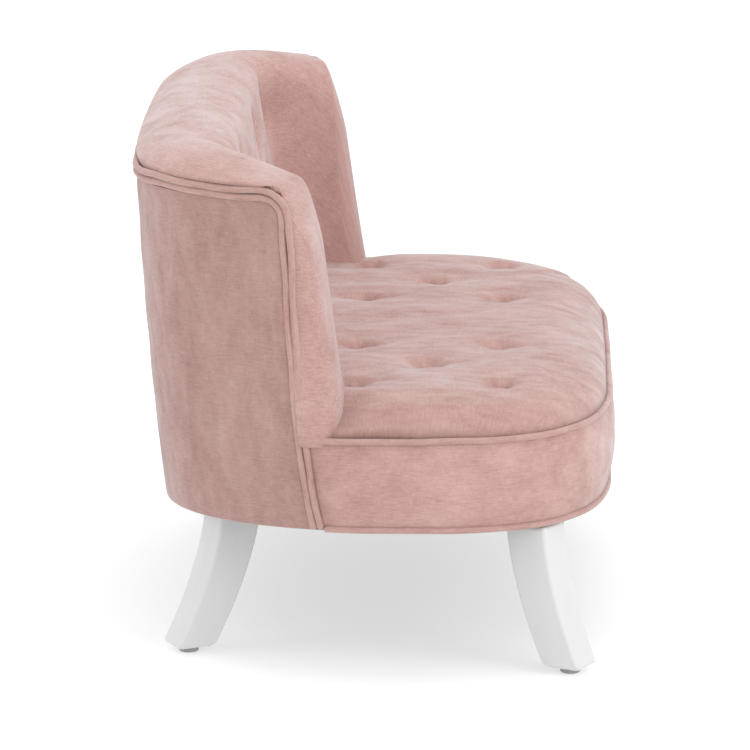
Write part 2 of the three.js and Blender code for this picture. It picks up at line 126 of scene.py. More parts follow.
cover_low, cover_high = mm_box("outside_cover")
base_seam_low, base_seam_high = mm_box("seat_piping_bottom")
CORD_RADIUS = (base_seam_high[2] - base_seam_low[2]) / 2
BASE_Z = cover_low[2]
PANEL_TOP_Z = cover_high[2]
HALF_WIDTH = base_seam_high[0] - CORD_RADIUS - 0.3
FRONT_Y = base_seam_low[1] + CORD_RADIUS
BACK_Y = 186.0           # the back's outside, at the base
LEAN_SIDE = 12.0         # the arms lean out this far at their top
LEAN_BACK = cover_high[1] - BACK_Y
ARM_FRONT_LOW_Y = 49.5   # the arm's front edge at the base
ARM_FRONT_SLOPE = 0.055  # it goes back this much per mm of height
KNEE_REACH = 13.0        # and this much more in a knee near the base
KNEE_HEIGHT = 60.0
WELT_BEND = 14.0         # radius where the welt turns from the arm's front to its top


def bezier(points, count):
    t = np.linspace(0, 1, count)[:, None]
    points = [np.array(p, float) for p in points]
    while len(points) > 1:
        points = [a * (1 - t) + b * t for a, b in zip(points, points[1:])]
    return points[0]


# Half of the plan outline: middle of the back, corner, side, corner, middle of the front
half = np.concatenate([
    bezier([(0, BACK_Y), (100, BACK_Y), (200, 182)], 200)[:-1],
    bezier([(200, 182), (280, 180), (330, 100), (HALF_WIDTH, 5)], 300)[:-1],
    bezier([(HALF_WIDTH, 5), (HALF_WIDTH, -35)], 60)[:-1],
    bezier([(HALF_WIDTH, -35), (335, -135), (298, -200), (155, FRONT_Y + 1)], 300)[:-1],
    bezier([(155, FRONT_Y + 1), (77, FRONT_Y), (0, FRONT_Y)], 160)])
steps = np.linalg.norm(np.diff(half, axis=0), axis=1)
half_s = np.concatenate([[0], np.cumsum(steps)])
HALF_LENGTH = half_s[-1]
half_s = half_s / HALF_LENGTH
half_along = np.gradient(half, axis=0)
half_along /= np.linalg.norm(half_along, axis=1)[:, None]


def lean_at(z):
    rise = np.clip((z - BASE_Z) / (PANEL_TOP_Z - BASE_Z), 0, 1.15)
    return rise ** 0.85


# A point of the outline: s is 0 at the back, 1 at the front, 2 at the back again
def plan_at(s, inset, lean):
    s = np.asarray(s, float)
    side = np.where((s > 1) | (s < 0), -1.0, 1.0)
    t = np.where(s > 1, 2 - s, np.abs(s))
    x, y = np.interp(t, half_s, half[:, 0]), np.interp(t, half_s, half[:, 1])
    ax, ay = np.interp(t, half_s, half_along[:, 0]), np.interp(t, half_s, half_along[:, 1])
    out_x, out_y = -ay, ax
    back = np.where(out_y > 0, LEAN_BACK, 0)
    return side * (x + out_x * (LEAN_SIDE * lean - inset)), y + out_y * (back * lean - inset)


def arm_front_y(z):
    knee = KNEE_REACH * (1 - np.exp((BASE_Z - z) / KNEE_HEIGHT))
    return ARM_FRONT_LOW_Y + knee + (z - BASE_Z) * ARM_FRONT_SLOPE


levels = np.arange(BASE_Z - 10, PANEL_TOP_Z + 60, 1.0)


# The outline parameter at each level where the wall's front edge, moved forward, lies
def front_table(forward):
    table = []
    s = np.linspace(0.1, 0.75, 900)
    for z, out in zip(levels, np.broadcast_to(forward, levels.shape)):
        y = plan_at(s, 0, lean_at(z))[1]
        table.append(np.interp(-(arm_front_y(z) - out), -y, s))
    return np.array(table)


edge_s = front_table(0.0)


def tub_at(a, z, inset, forward=0.0):
    lean = lean_at(z)
    end = np.interp(np.minimum(z, PANEL_TOP_Z), levels, edge_s)
    x, y = plan_at(a * end, inset, lean)
    here, ahead = plan_at(a * end, 0, lean), plan_at(a * end + np.where(a < 0, -0.002, 0.002), 0, lean)
    dx, dy = ahead[0] - here[0], ahead[1] - here[1]
    size = np.hypot(dx, dy)
    return np.stack([x + forward * dx / size, y + forward * dy / size, z + 0 * x], axis=-1)


# Soft unevenness of pulled cloth: a sum of a few long waves, the same on every run
def ripple(u, v, seed):
    rng = np.random.default_rng(seed)
    total = 0
    for _ in range(7):
        angle = rng.uniform(0, 2 * math.pi)
        wave = rng.uniform(45, 140)
        phase = rng.uniform(0, 2 * math.pi)
        total = total + np.sin((u * math.cos(angle) + v * math.sin(angle)) * 2 * math.pi / wave + phase)
    return total / 7


# Lays a flat grid of cloth over an array of points, with a UV map in metres
def lay_cloth(name, points, loop_v=False, flip=False, flat=None):
    rows, columns = points.shape[:2]
    bpy.ops.object.select_all(action="DESELECT")
    bpy.ops.mesh.primitive_grid_add(x_subdivisions=columns - 1, y_subdivisions=rows - 1, size=1)
    piece = bpy.context.object
    piece.name = name
    piece.data.name = name
    mesh = piece.data
    mesh.vertices.foreach_set("co", (points * MM).reshape(-1))
    along = np.zeros((rows, columns))
    along[1:] = np.cumsum(np.linalg.norm(np.diff(points, axis=0), axis=2), axis=0)
    across = np.zeros((rows, columns))
    across[:, 1:] = np.cumsum(np.linalg.norm(np.diff(points, axis=1), axis=2), axis=1)
    along = np.repeat(along[:, columns // 2][:, None], columns, axis=1)
    uv = np.stack([along.reshape(-1), across.reshape(-1)], axis=1) * MM
    if flat is not None:
        uv = flat.reshape(-1, 2) * MM
    corner = np.empty(len(mesh.loops), dtype=np.int32)
    mesh.loops.foreach_get("vertex_index", corner)
    mesh.uv_layers.active.data.foreach_set("uv", uv[corner].reshape(-1))
    mesh.update()
    bpy.ops.object.mode_set(mode="EDIT")
    bpy.ops.mesh.select_all(action="SELECT")
    if flip:
        bpy.ops.mesh.flip_normals()
    if loop_v:
        bpy.ops.mesh.remove_doubles(threshold=0.00002)
    bpy.ops.object.mode_set(mode="OBJECT")
    bpy.ops.object.shade_smooth()
    return piece


def apply_modifier(piece, kind, **settings):
    bpy.context.view_layer.objects.active = piece
    modifier = piece.modifiers.new(kind.lower(), kind)
    for key, value in settings.items():
        setattr(modifier, key, value)
    bpy.ops.object.modifier_apply(modifier=modifier.name)


def settle(piece, slot, *nodes_replaced):
    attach(piece, "root")
    if nodes_replaced:
        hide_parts(*nodes_replaced)


# Brushed velvet: crossed threads, cloudy nap patches, and a pale sheen at grazing angles
def velvet(name, painted_light_tone=1.0, mottle=0.5, streak=(1.0, 1.0), seed=0.0):
    material, nodes, links = new_material(name)
    shader = nodes["Principled BSDF"]
    uv = nodes.new("ShaderNodeTexCoord")

    def noise(scale, detail, roughness=0.5, shift=0.0):
        mapping = nodes.new("ShaderNodeMapping")
        mapping.inputs["Scale"].default_value = (scale[0], scale[1], 1)
        mapping.inputs["Location"].default_value = (shift + seed, shift * 0.7 + seed, 0)
        texture = nodes.new("ShaderNodeTexNoise")
        texture.inputs["Scale"].default_value = 1
        texture.inputs["Detail"].default_value = detail
        texture.inputs["Roughness"].default_value = roughness
        links.new(uv.outputs["UV"], mapping.inputs["Vector"])
        links.new(mapping.outputs["Vector"], texture.inputs["Vector"])
        return texture.outputs["Fac"]

    def maths(kind, a, b):
        node = nodes.new("ShaderNodeMath")
        node.operation = kind
        for socket, value in zip(node.inputs, (a, b)):
            if isinstance(value, float):
                socket.default_value = value
            else:
                links.new(value, socket)
        return node.outputs[0]

    def ramp(value, stops):
        node = nodes.new("ShaderNodeValToRGB")
        for element, (place, colour) in zip(node.color_ramp.elements, stops):
            element.position = place
            element.color = (*colour, 1)
        links.new(value, node.inputs["Fac"])
        return node.outputs["Color"]

    warp = noise((150, 1300), 2, 0.6, 3.1)
    weft = noise((1300, 150), 2, 0.6, 7.7)
    slub = noise((60, 520), 3, 0.6, 2.2)
    threads = maths("ADD", maths("MULTIPLY", warp, 0.4), maths("MULTIPLY", weft, 0.3))
    threads = maths("ADD", threads, maths("MULTIPLY", slub, 0.3))
    cloud = noise((9 * streak[0], 9 * streak[1]), 6, 0.66, 1.3)
    patch = noise((38 * streak[0], 38 * streak[1]), 5, 0.68, 5.9)
    nap = maths("ADD", maths("MULTIPLY", cloud, 0.5), maths("MULTIPLY", patch, 0.5))
    # The per-piece tone factor scales both colours up or down: painted light and painted shade, giving lit
    # and shaded copies of one velvet for how the lamps fall on each part
    dark = tuple(painted_light_tone * c for c in (0.335, 0.184, 0.164))
    light = tuple(painted_light_tone * c for c in (0.560, 0.368, 0.336))
    both = maths("ADD", maths("MULTIPLY", threads, 1 - mottle), maths("MULTIPLY", nap, mottle))
    links.new(ramp(both, [(0.37, dark), (0.63, light)]), shader.inputs["Base Color"])
    sheen = ramp(nap, [(0.38, (0.22, 0.22, 0.22)), (0.62, (0.66, 0.66, 0.66))])
    links.new(sheen, shader.inputs["Sheen Weight"])

    bump = nodes.new("ShaderNodeBump")
    bump.inputs["Strength"].default_value = 0.55
    bump.inputs["Distance"].default_value = 0.0008
    links.new(threads, bump.inputs["Height"])
    links.new(bump.outputs["Normal"], shader.inputs["Normal"])
    shader.inputs["Roughness"].default_value = 0.9
    shader.inputs["Specular IOR Level"].default_value = 0.15
    shader.inputs["Sheen Roughness"].default_value = 0.42
    shader.inputs["Sheen Tint"].default_value = (0.80, 0.93, 0.98, 1)
    return material


# The darker tone here is painted shade on the outside cover, the side turned away from the lamps
cover_velvet = velvet("velvet_cover", painted_light_tone=0.86, streak=(1.6, 0.6), seed=0.0)

COVER = 2.2              # thickness of the velvet with its lining
UNDER = 16.0             # how far the cover turns under the rails
COVER_SWELL = 1.6        # the stretched cover stands out this far at half its height
COVER_SLACK = 1.0        # height of its uneven places
wall_z = np.concatenate([
    np.full(7, BASE_Z + 0.3), BASE_Z + 3 * (1 - np.cos(np.linspace(0.2, 1.5, 5))),
    np.linspace(BASE_Z + 6, PANEL_TOP_Z - WELT_BEND, 60),
    PANEL_TOP_Z - WELT_BEND * (1 - np.sin(np.linspace(0.15, 1, 8) * math.pi / 2))])
wall_inset = np.concatenate([
    np.linspace(UNDER, 3.4, 7), 3 * (1 - np.sin(np.linspace(0.2, 1.5, 5))), np.zeros(68)])
over = np.maximum(levels - (PANEL_TOP_Z - WELT_BEND), 0)
corner_back = WELT_BEND - np.sqrt(np.maximum(WELT_BEND ** 2 - over ** 2, 0))
UNDER_WELT = 1.6         # the cover goes this far on under the welt
cover_s = front_table(UNDER_WELT - corner_back)
a = np.linspace(-1, 1, 260)[:, None]
z = wall_z[None, :]
bulge = COVER_SWELL * np.sin(np.clip((z - BASE_Z) / (PANEL_TOP_Z - BASE_Z), 0, 1) * math.pi)
bulge = bulge + COVER_SLACK * ripple(a * 400, z, 5) * np.clip((z - BASE_Z) / 30, 0, 1)
x, y = plan_at(a * np.interp(z, levels, cover_s), wall_inset[None, :] - bulge, lean_at(z))
outside_cover = lay_cloth("outside_cover_cloth", np.stack([x, y, z + 0 * x], axis=-1))
apply_modifier(outside_cover, "SOLIDIFY", thickness=COVER * MM, offset=-1)
outside_cover.data.materials.append(cover_velvet)
settle(outside_cover, "velvet", "outside_cover")


# ---------------------------------------------------------------------------
# Double welt: two fabric-covered cords sewn side by side, up one arm's front
# edge, round the top of the outside cover and down the other arm.
# ---------------------------------------------------------------------------
def edge_at(z, out):
    table = front_table(out)
    x, y = plan_at(np.interp(z, levels, table), 0, lean_at(z))
    return np.stack([x, y, z + 0 * x], axis=-1)


def resample(route, step):
    lengths = np.concatenate([[0], np.cumsum(np.linalg.norm(np.diff(route, axis=0), axis=1))])
    at = np.linspace(0, lengths[-1], max(int(lengths[-1] / step), 2) + 1)
    return np.stack([np.interp(at, lengths, route[:, i]) for i in range(3)], axis=1)


def smooth(route, passes):
    route = route.copy()
    for _ in range(passes):
        route[1:-1] = (route[:-2] + 2 * route[1:-1] + route[2:]) / 4
    return route


# A round fabric-covered cord along a route, closed at both ends
def covered_cord(name, route, radius, material, wander=0.35, seed=1, around=14):
    route = smooth(resample(route, 2.2), 6)
    distance = np.concatenate([[0], np.cumsum(np.linalg.norm(np.diff(route, axis=0), axis=1))])
    along = np.gradient(route, axis=0)
    along /= np.linalg.norm(along, axis=1)[:, None]
    out = route * [1, 1, 0]
    out /= np.linalg.norm(out, axis=1)[:, None]
    out -= along * np.sum(out * along, axis=1)[:, None]
    out /= np.linalg.norm(out, axis=1)[:, None]
    cross = np.cross(along, out)
    route = route + cross * (wander * ripple(distance, distance * 0, seed))[:, None] * 1.6
    turn = np.linspace(0, 2 * math.pi, around + 1)
    thick = radius * (1 + 0.04 * ripple(distance * 2.2, 0 * distance, seed + 9))
    thick[[0, -1]] = 0.0001
    ring = out[:, None, :] * np.cos(turn)[None, :, None] + cross[:, None, :] * np.sin(turn)[None, :, None]
    piece = lay_cloth(name, route[:, None, :] + ring * thick[:, None, None], loop_v=True)
    piece.data.materials.append(material)
    return piece


WELT_TURN = 0.96         # the welt's level run ends at this share of the wall


def welt_route(out):
    climb_z = np.linspace(BASE_Z + 0.5, PANEL_TOP_Z - WELT_BEND, 60)
    climb = edge_at(climb_z, out)
    bend = []
    for share in np.linspace(0.08, 0.92, 9):
        angle = share * math.pi / 2
        back = (WELT_BEND + out) * (1 - math.cos(angle))
        level = PANEL_TOP_Z - WELT_BEND + (WELT_BEND + out) * math.sin(angle)
        bend.append(edge_at(np.array([level]), out - back)[0])
    over = tub_at(np.linspace(WELT_TURN, -WELT_TURN, 200), np.full(200, PANEL_TOP_Z + out), np.zeros(200))
    side = np.concatenate([climb, np.array(bend)])
    return np.concatenate([side, over, (side * [-1, 1, 1])[::-1]])


cord_velvet = velvet("velvet_cord", streak=(1.0, 1.0), seed=3.0)
WELT_SEED = 21           # one seed for both, so that they wander together
for name, out in [("welt_outer", CORD_RADIUS + 0.2), ("welt_inner", 3 * CORD_RADIUS + 0.4)]:
    welt = covered_cord(
        name + "_cord", welt_route(out), CORD_RADIUS + 0.15, cord_velvet, wander=1.3, seed=WELT_SEED)
    settle(welt, "velvet", name)


# ---------------------------------------------------------------------------
# Arm and back pad: foam under one velvet cover that starts at the welt, rolls
# over the top and the arm fronts, and is tied back by tufts on the inside.
# ---------------------------------------------------------------------------
pad_low, pad_high = mm_box("back_pad")
PAD_FOOT_Z = pad_low[2]
CREST_Z = pad_high[2] - 1.5
LIP_Z = PANEL_TOP_Z + 4 * CORD_RADIUS + 1.0
PAD_THICKNESS = 86.0     # at the arms
PAD_MIDDLE = 48.0        # the crest is this far inside the outline
ROLL_SOFT = 5.5          # the roll stands this much further back over the rear corners
CREST_ARM_SHARE = 0.17   # how much of the crest's rise is left at an arm's front
BACK_FILL = 0.4          # the back is this much fuller than the arms
NOSE_MIDDLE = 43.0       # the nose's front line is this far inside the outline
NOSE_LOW, NOSE_HIGH = 41.5, 22.0     # how far it stands forward of the wall, low and high
NOSE_HEIGHT = 203
NOSE_STEPS = 22
NOSE_SLANT = 0.135       # the nose stands back this much per mm towards the inside
NOSE_SHOULDER_Z = LIP_Z - 66         # it rounds over above this level
NOSE_TIP_Z = PAD_FOOT_Z - 12
NOSE_SIDE = 2.0          # the nose's outside is this far inside the outline
NOSE_FLARE = 5.5         # the foot stands out this far, over the seam cord,
FRONT_FLARE = 4.5        # and this much further at its front
NOSE_TUCK = 0.32         # share of its reach that the foot loses, tucked in
NOSE_ROUND = 36.0        # radius of its top, across the arm
PAD_POINTS = 62          # points on each half of the section


def smooth_step(x, low, high):
    t = np.clip((x - low) / (high - low), 0, 1)
    return t * t * (3 - 2 * t)


# A smooth line through a few points, each stretch a cubic
def through(points, count):
    p = np.array(points, float)
    p = np.concatenate([[2 * p[0] - p[1]], p, [2 * p[-1] - p[-2]]])
    line = []
    for i in range(1, len(p) - 2):
        t = np.linspace(0, 1, count, endpoint=False)[:, None]
        a, b, c, d = p[i - 1], p[i], p[i + 1], p[i + 2]
        line.append(0.5 * (2 * b + (c - a) * t + (2 * a - 5 * b + 4 * c - d) * t ** 2
                           + (3 * b - a - 3 * c + d) * t ** 3))
    return np.concatenate(line + [p[-2][None, :]])


# The same line as count points at even distances
def even(line, count):
    lengths = np.concatenate([[0], np.cumsum(np.linalg.norm(np.diff(line, axis=0), axis=1))])
    at = np.linspace(0, lengths[-1], count)
    return np.stack([np.interp(at, lengths, line[:, i]) for i in range(2)], axis=1)


# The pad's section as (inset, height): up the hidden back to the crest, down the inside.
# fullness brings the hidden back out to the welt, where the welt turns down the arm,
# and soft sets the roll further back over the rear corners
def pad_section(crest, fill, fullness=0.0, soft=0.0):
    rise = (CREST_Z - LIP_Z) * crest

    def inner(inset, share):
        return PAD_MIDDLE + (inset - PAD_MIDDLE) * (1 + (fill - 1) * share)

    roll = through([
        (3.2, LIP_Z - 3), (soft * 0.7, LIP_Z), (soft - 2.8, LIP_Z + 1.5 + rise * 0.05),
        (1 + soft, LIP_Z + 2 + rise * 0.16), (7 + soft, LIP_Z + 2 + rise * 0.36),
        (16 + soft, LIP_Z + 2 + rise * 0.58), (26 + soft * 0.7, LIP_Z + 1 + rise * 0.80),
        (PAD_MIDDLE - 3, LIP_Z + rise)], 6)
    hidden = np.array([(17, PAD_FOOT_Z), (16.5, LIP_Z - 23), (6.8, LIP_Z - 19), (6.8, LIP_Z - 5)])
    filled = hidden[:, 0] * (1 - fullness) + 3.0 * fullness
    hidden[:, 0] = np.where(hidden[:, 1] > PAD_FOOT_Z + 1, filled, hidden[:, 0])
    droop = 1 - crest
    inside = through([
        (PAD_MIDDLE - 3, LIP_Z + rise), (inner(60, 0.3), LIP_Z + rise * 0.9 - 5 * droop),
        (inner(75, 0.3), LIP_Z + rise * 0.6 - 17 * droop),
        (inner(84 - droop, 0.3), LIP_Z - 36 * droop),
        (inner(PAD_THICKNESS + 0.5, 0.5), LIP_Z - 32 - 34 * droop),
        (inner(84.5, 1), LIP_Z - 87 - 22 * droop), (inner(82, 1), LIP_Z - 147),
        (80, PAD_FOOT_Z + 25), (77, PAD_FOOT_Z + 3), (70, PAD_FOOT_Z)], 8)
    return np.concatenate([hidden, roll]), inside


# Along the wall, a runs from -1 at one arm's front through 0 at the back to 1
CREST_FALL = 0.66        # from here the crest sinks towards the arm's front
CREST_FALL_LENGTH = 0.34
FILL_START, FILL_END = 0.4, 0.84     # the back's fullness fades out between these
CORNER, CORNER_LENGTH = 0.62, 0.13
WELT_FALL = (0.925, 0.97)            # where the welt turns down the arm


def crest_share(a):
    fallen = np.clip((np.abs(a) - CREST_FALL) / CREST_FALL_LENGTH, 0, 1) ** 2.2
    return 1 - (1 - CREST_ARM_SHARE) * fallen


def back_fill(a):
    return 1 + BACK_FILL * (1 - smooth_step(np.abs(a), FILL_START, FILL_END))


# Closer sections in the arms, where the shape changes fast
rings = []
arm_a = 1 - 0.25 * np.linspace(0, 1, 26) ** 1.15
half_a = np.concatenate([np.linspace(0, arm_a[-1], 46)[:-1], arm_a[::-1]])
tub_a = np.concatenate([-half_a[:0:-1], half_a])
for a_here in tub_a:
    soft = ROLL_SOFT * math.exp(-((abs(a_here) - CORNER) / CORNER_LENGTH) ** 2)
    fullness = smooth_step(abs(a_here), *WELT_FALL)
    outer, inner = pad_section(crest_share(a_here), back_fill(a_here), fullness, soft)
    ring = np.concatenate([even(outer, PAD_POINTS), even(inner, PAD_POINTS)[1:]])
    rings.append(tub_at(np.full(len(ring), a_here), ring[:, 1], ring[:, 0]))


# The arm's rounded front: the section narrows and sinks towards one front line,
# and its foot comes down over the end of the seat's seam cord
def nose_rings(side):
    found = []
    for angle in np.linspace(0, 90, NOSE_STEPS + 1)[1:]:
        turn = math.radians(angle)
        outer, inner = pad_section(CREST_ARM_SHARE, 1.0)
        wall = outer[:, 1] < LIP_Z - 4
        outer[wall, 0] = NOSE_SIDE
        outer[:, 0] = np.maximum(outer[:, 0], 5 * smooth_step(angle, 0, 20) - 3)
        outer = np.concatenate([[(NOSE_SIDE, NOSE_TIP_Z), (NOSE_SIDE, PAD_FOOT_Z)], outer[1:]])
        flare = NOSE_FLARE + FRONT_FLARE * math.sin(turn)
        outer[:, 0] -= flare * np.clip((PAD_FOOT_Z + 16 - outer[:, 1]) / 16, 0, 1)
        inner[-1] = (66, PAD_FOOT_Z)
        inner = np.concatenate([inner, [(50, NOSE_TIP_Z)]])
        halves = []
        for line in (outer, inner):
            line = even(line, PAD_POINTS)
            aside = np.clip((line[:, 0] - NOSE_MIDDLE) / (NOSE_MIDDLE - NOSE_SIDE), -1, 1)
            top = np.clip((line[:, 1] - (LIP_Z - NOSE_ROUND)) / NOSE_ROUND, 0, 1)
            line[:, 1] -= NOSE_ROUND * smooth_step(angle, 0, 50) * (1 - np.sqrt(1 - aside ** 2)) * top
            square = 0.66 - 0.28 * np.clip((PAD_FOOT_Z + 45 - line[:, 1]) / 45, 0, 1)
            line[:, 0] = NOSE_MIDDLE + (line[:, 0] - NOSE_MIDDLE) * math.cos(turn) ** square
            over = np.maximum(line[:, 1] - NOSE_SHOULDER_Z, 0)
            line[:, 1] = np.minimum(line[:, 1], NOSE_SHOULDER_Z) + over * math.cos(turn) ** 1.2
            halves.append(even(line, PAD_POINTS))
        if angle > 89:
            halves[1] = halves[0][::-1]
        ring = np.concatenate([halves[0], halves[1][1:]])
        height = np.clip((ring[:, 1] - PAD_FOOT_Z) / NOSE_HEIGHT, 0, 1)
        reach = NOSE_LOW + (NOSE_HIGH - NOSE_LOW) * height
        reach -= NOSE_SLANT * ring[:, 0]
        tuck = 1 - NOSE_TUCK * np.clip((PAD_FOOT_Z + 20 - ring[:, 1]) / 33, 0, 1) ** 1.6
        here = np.full(len(ring), side)
        found.append(tub_at(here, ring[:, 1], ring[:, 0], reach * math.sin(turn) * tuck))
    return found


rings = nose_rings(-1.0)[::-1] + rings + nose_rings(1.0)
shape = np.array(rings)
shape = np.concatenate([shape, shape[:, :1]], axis=1)

# Tufts on the inside, in two groups of five; each pulls a dimple with soft folds
TUFT_COLUMNS = (97, 203)
BACK_ROWS = (285, 395)
BACK_MIDDLE = (150, 340)             # the fifth tuft, in the middle of its group
back_tufts = [(sign * x, z) for sign in (-1, 1) for x in TUFT_COLUMNS for z in BACK_ROWS]
back_tufts += [(sign * BACK_MIDDLE[0], BACK_MIDDLE[1]) for sign in (-1, 1)]
inner_face = slice(PAD_POINTS - 1, 2 * PAD_POINTS - 1)
for tuft_x, tuft_z in back_tufts:
    face = shape[:, inner_face]
    score = np.abs(face[..., 2] - tuft_z) + np.abs(face[..., 0] - tuft_x)
    score = score + np.where(face[..., 1] < 60, 1e3, 0)
    i, j = np.unravel_index(np.argmin(score), score.shape)
    centre = face[i, j].copy()
    offset = shape - centre
    flat = np.hypot(offset[..., 0], offset[..., 1])
    side_way = np.sign(offset[..., 0]) * flat
    up_way = offset[..., 2]
    r = np.sqrt(flat ** 2 + up_way ** 2)
    dimple = 14 * np.exp(-(r / 13) ** 1.15) + 5 * np.exp(-(r / 38) ** 2)
    crease = 4.5 * np.exp(-(side_way / 6) ** 2) * np.exp(-(np.abs(up_way) / 36) ** 2)
    crease = crease * (1 - np.exp(-(r / 9) ** 2))
    mask = np.zeros(shape.shape[:2])
    mask[:, inner_face] = 1
    away_out = np.array([centre[0] * 0.35, 100.0, 0.0])
    away_out /= np.linalg.norm(away_out)
    shape = shape + (mask * (dimple + crease))[..., None] * away_out

pad = lay_cloth("arm_and_back_pad", shape, loop_v=True)
apply_modifier(pad, "SUBSURF", levels=1, render_levels=1)

# Small pleats gather the cover where it turns the welt's top front corners, each
# from one (y, z) to another on the arm's outside
PLEAT_DEPTH = 3.0
PLEATS = [((88, 430), (68, 438)), ((85, 424), (64, 427)), ((81, 412), (56, 412))]
place = np.empty(len(pad.data.vertices) * 3)
pad.data.vertices.foreach_get("co", place)
place = place.reshape(-1, 3) / MM
normal = np.empty(len(pad.data.vertices) * 3)
pad.data.vertices.foreach_get("normal", normal)
normal = normal.reshape(-1, 3)
depth = np.zeros(len(place))
for (start_y, start_z), (end_y, end_z) in PLEATS:
    run = np.array([end_y - start_y, end_z - start_z], float)
    length = np.hypot(*run)
    run /= length
    from_start = place[:, 1:] - [start_y, start_z]
    along = from_start @ run
    aside = from_start @ [-run[1], run[0]]
    shown = np.clip((along + 4) / 5, 0, 1) * np.clip((length - along) / (length * 0.8), 0, 1)
    fold = 1.3 * np.exp(-((aside - 4.6) / 2.6) ** 2)
    depth += shown * (PLEAT_DEPTH * np.exp(-(aside / 2.0) ** 2) - fold)
depth *= np.abs(place[:, 0]) > 285
pad.data.vertices.foreach_set("co", ((place - normal * depth[:, None]) * MM).reshape(-1))
pad.data.update()
# The slightly lighter tone here is painted light on the pad, lifting its shaded inner side
pad_velvet = velvet("velvet_pad", painted_light_tone=1.02, mottle=0.33, streak=(1.0, 1.0), seed=5.0)
pad.data.materials.append(pad_velvet)
settle(pad, "velvet", "back_pad", "corner_left_pad", "corner_right_pad", "arm_left_pad", "arm_right_pad")


# ---------------------------------------------------------------------------
# Seat: a crowned foam pad under velvet, with ten blind tufts pulled down by
# thread, and its edge sewn into the top seam cord.
# ---------------------------------------------------------------------------
seat_high = mm_box("seat_pad")[1]
top_seam_low, top_seam_high = mm_box("seat_piping_top")
SEAM_Z = (top_seam_low[2] + top_seam_high[2]) / 2
CROWN_Z = seat_high[2] + 5
EDGE_WALL = 17.0         # the edge stands up steeply over this distance
EDGE_ROLL = 62.0         # and eases into the crown over this one
SEAT_TUFT_ROWS = (18, -109)
SEAT_TUFT_COLUMNS = (100, 248)
SEAT_TUFT_MIDDLE = (174, -45)
TUFT_DEPTH, TUFT_REACH = 11, 12      # the thread's own dimple
PULL_DEPTH, PULL_REACH = 3.6, 30     # and the wide hollow round it
PRESS_SHARE = 0.55       # the arm's front presses this much of the crown down,
PRESS_REACH = 24         # over about this distance

seat_tufts = [(sign * x, y) for sign in (-1, 1) for x in SEAT_TUFT_COLUMNS for y in SEAT_TUFT_ROWS]
seat_tufts += [(sign * SEAT_TUFT_MIDDLE[0], SEAT_TUFT_MIDDLE[1]) for sign in (-1, 1)]


def seat_height(x, y, distance):
    side_wall = np.sqrt(1 - (1 - np.clip(distance / EDGE_WALL, 0, 1)) ** 2)
    crown = np.sin(math.pi / 2 * np.clip(distance / EDGE_ROLL, 0, 1))
    wall_share = 0.66 - 0.20 * smooth_step(-y, 60, 150)
    rise = wall_share * side_wall + (1 - wall_share) * crown
    pressed = ((np.abs(x) - HALF_WIDTH + 10) / PRESS_REACH) ** 2 + ((y - 32) / PRESS_REACH) ** 2
    rise = rise * (1 - PRESS_SHARE * np.exp(-pressed))
    height = SEAM_Z - 0.5 + (CROWN_Z - SEAM_Z) * rise
    height = height + 1.2 * ripple(x, y, 11) * np.clip(distance / 40, 0, 1)
    for tuft_x, tuft_y in seat_tufts:
        dx, dy = x - tuft_x, y - tuft_y
        r = np.hypot(dx, dy)
        angle = np.arctan2(dy, dx)
        folds = 1 + 0.2 * np.cos(4 * angle + tuft_x) * np.exp(-(r / 34) ** 2)
        crease = 2.6 * np.exp(-(dx / 5) ** 2) * np.exp(-(np.abs(dy) / 26) ** 1.6)
        lip = 1.3 * np.exp(-((r - 19) / 7) ** 2)
        dimple = TUFT_DEPTH * np.exp(-(r / TUFT_REACH) ** 1.15)
        dimple = dimple + PULL_DEPTH * np.exp(-(r / PULL_REACH) ** 2)
        height = height - dimple * folds - crease + lip
    return height


# A square grid stretched to the seat's outline: its corners go to the outline's own,
# at these shares of the way from the back's middle to the front's
CORNER_REAR, CORNER_FRONT = 0.36, 0.71
SEAT_MIDDLE_Y = -20.0
u, v = np.meshgrid(np.linspace(-1, 1, 231), np.linspace(-1, 1, 165), indexing="xy")
ring = np.maximum(np.maximum(np.abs(u), np.abs(v)), 1e-6)
edge_u, edge_v = np.abs(u) / ring, v / ring
s = np.where(
    edge_v > 0.9999, CORNER_REAR * edge_u,
    np.where(
        edge_v < -0.9999, 1 - (1 - CORNER_FRONT) * edge_u,
        CORNER_REAR + (CORNER_FRONT - CORNER_REAR) * (1 - edge_v) / 2))
edge_x, edge_y = plan_at(s, 1.0, 0.0)
edge_x = edge_x * np.sign(u + 1e-9)
x = edge_x * ring
y = SEAT_MIDDLE_Y + (edge_y - SEAT_MIDDLE_Y) * ring
square_on = np.where(np.abs(edge_v) > 0.9999, np.abs(edge_y - SEAT_MIDDLE_Y), np.abs(edge_x))
distance = (1 - ring) * (0.35 * np.hypot(edge_x, edge_y - SEAT_MIDDLE_Y) + 0.65 * square_on)
top = np.stack([x, y, seat_height(x, y, distance)], axis=-1)
away = np.hypot(edge_x, edge_y - SEAT_MIDDLE_Y)
fall = np.clip(CROWN_Z - top[..., 2], 0, None) * (ring > 0.7)
flat = np.stack([x + fall * edge_x / away, y + fall * (edge_y - SEAT_MIDDLE_Y) / away], axis=-1)
seat = lay_cloth("seat_cover", top, flat=flat)
apply_modifier(seat, "SOLIDIFY", thickness=COVER * MM, offset=-1)
# The slightly darker tone here is painted shade on the seat, dimming its lit top
seat_velvet = velvet("velvet_seat", painted_light_tone=0.97, streak=(1.9, 0.8), seed=9.0)
seat.data.materials.append(seat_velvet)
settle(seat, "velvet", "seat_pad")


